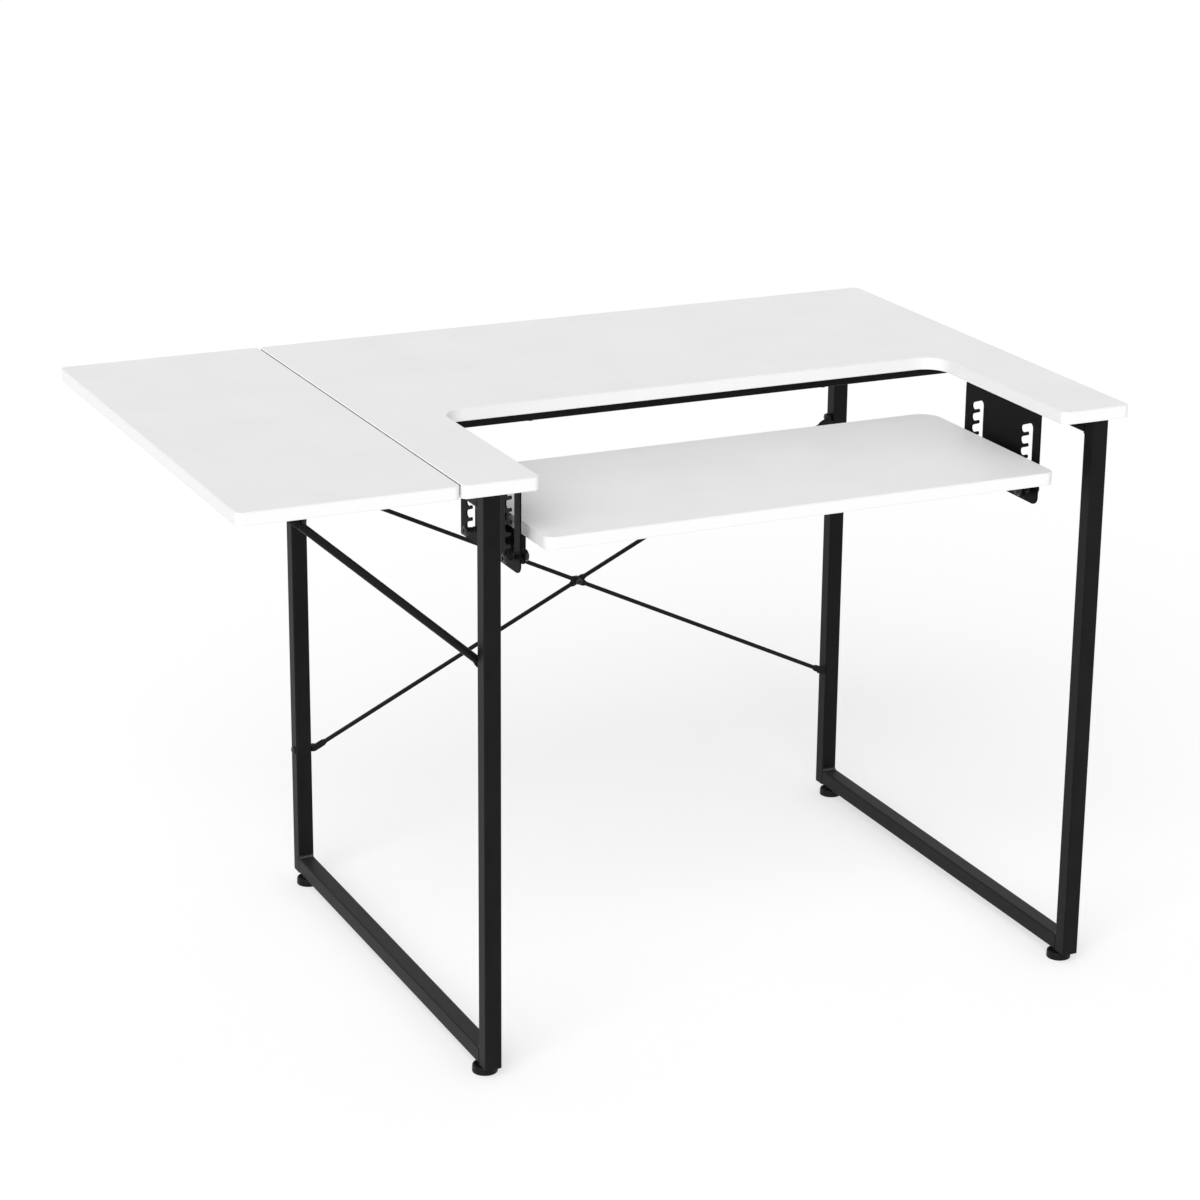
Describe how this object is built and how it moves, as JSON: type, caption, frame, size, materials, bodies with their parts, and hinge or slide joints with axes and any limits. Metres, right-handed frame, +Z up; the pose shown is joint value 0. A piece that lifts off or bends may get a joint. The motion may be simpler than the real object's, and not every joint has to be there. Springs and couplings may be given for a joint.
{
  "type": "folding sewing table",
  "caption": "White sewing table on black square-tube frames, with a folding side leaf, a U-shaped opening and a height-set machine platform.",
  "frame": {"origin": "on the floor, under the middle of the table with its leaf raised", "axes": "+X along the table's length to the right, +Y to the back, +Z up"},
  "size_m": [1.17, 0.7, 0.76],
  "materials": {
    "white_laminate": "white melamine-faced board, satin",
    "black_powder_coat": "fine black powder coat on steel, satin",
    "black_fastener": "black-oxide steel",
    "zinc_steel": "zinc-plated steel",
    "black_plastic": "moulded black plastic, fine grain",
    "black_rubber": "matt black rubber"
  },
  "bodies": {
    "frame": {"main_top": "white_laminate", "left_front_leg": "black_powder_coat", "left_back_leg": "black_powder_coat", "right_front_leg": "black_powder_coat", "right_back_leg": "black_powder_coat", "left_top_rail": "black_powder_coat", "right_top_rail": "black_powder_coat", "left_bottom_rail": "black_powder_coat", "right_bottom_rail": "black_powder_coat", "crossbar": "black_powder_coat", "leg_end_plugs": "black_plastic", "falling_brace_rod": "black_powder_coat", "rising_brace_rod": "black_powder_coat", "brace_crossing_bolt": "black_fastener", "brace_crossing_nut": "black_fastener", "brace_end_bolts": "black_fastener", "brace_end_nuts": "black_fastener", "crossbar_bolts": "black_fastener", "frame_screws": "black_fastener", "left_comb_plate": "black_powder_coat", "right_comb_plate": "black_powder_coat", "comb_plate_screws": "black_fastener", "front_hinge_top_plate": "black_powder_coat", "middle_hinge_top_plate": "black_powder_coat", "back_hinge_top_plate": "black_powder_coat", "front_hinge_pin": "black_fastener", "middle_hinge_pin": "black_fastener", "back_hinge_pin": "black_fastener", "hinge_top_screws": "black_fastener", "strut_pivot_bolts": "black_fastener", "strut_pivot_spacers": "black_plastic", "foot_rivet_nuts": "zinc_steel"},
    "leaf": {"drop_leaf": "white_laminate", "front_hinge_leaf_plate": "black_powder_coat", "middle_hinge_leaf_plate": "black_powder_coat", "back_hinge_leaf_plate": "black_powder_coat", "hinge_leaf_screws": "black_fastener", "front_strut_catch": "black_powder_coat", "back_strut_catch": "black_powder_coat", "catch_screws": "black_fastener"},
    "platform": {"machine_platform": "white_laminate", "left_platform_bracket": "black_powder_coat", "right_platform_bracket": "black_powder_coat", "platform_bracket_screws": "black_fastener", "platform_pins": "black_fastener", "platform_pin_nuts": "black_fastener"},
    "front_strut": {"front_strut": "black_powder_coat", "front_strut_cap": "black_rubber"},
    "back_strut": {"back_strut": "black_powder_coat", "back_strut_cap": "black_rubber"},
    "front_left_foot": {"front_left_foot_pad": "black_plastic", "front_left_foot_stud": "zinc_steel"},
    "back_left_foot": {"back_left_foot_pad": "black_plastic", "back_left_foot_stud": "zinc_steel"},
    "front_right_foot": {"front_right_foot_pad": "black_plastic", "front_right_foot_stud": "zinc_steel"},
    "back_right_foot": {"back_right_foot_pad": "black_plastic", "back_right_foot_stud": "zinc_steel"}
  },
  "joints": [
    {"name": "leaf_fold", "type": "hinge", "parent": "frame", "child": "leaf", "pos_m": [-0.316, 0, 0.7402], "axis": [0, -1, 0], "range_deg": [0, 90]},
    {"name": "front_strut_swing", "type": "hinge", "parent": "frame", "child": "front_strut", "pos_m": [-0.275, -0.314, 0.527], "axis": [0, -1, 0], "range_deg": [0, 131.62]},
    {"name": "back_strut_swing", "type": "hinge", "parent": "frame", "child": "back_strut", "pos_m": [-0.275, 0.314, 0.527], "axis": [0, -1, 0], "range_deg": [0, 131.62]},
    {"name": "platform_height", "type": "slide", "parent": "frame", "child": "platform", "axis": [0, 0, 1], "range_m": [0, 0.075]},
    {"name": "front_left_foot_height", "type": "slide", "parent": "frame", "child": "front_left_foot", "axis": [0, 0, -1], "range_m": [0, 0.008]},
    {"name": "back_left_foot_height", "type": "slide", "parent": "frame", "child": "back_left_foot", "axis": [0, 0, -1], "range_m": [0, 0.008]},
    {"name": "front_right_foot_height", "type": "slide", "parent": "frame", "child": "front_right_foot", "axis": [0, 0, -1], "range_m": [0, 0.008]},
    {"name": "back_right_foot_height", "type": "slide", "parent": "frame", "child": "back_right_foot", "axis": [0, 0, -1], "range_m": [0, 0.008]}
  ],
  "couplings": [
    {"joint": "front_strut_swing", "follows": "leaf_fold", "ratio": 1.4623},
    {"joint": "back_strut_swing", "follows": "leaf_fold", "ratio": 1.4623}
  ]
}
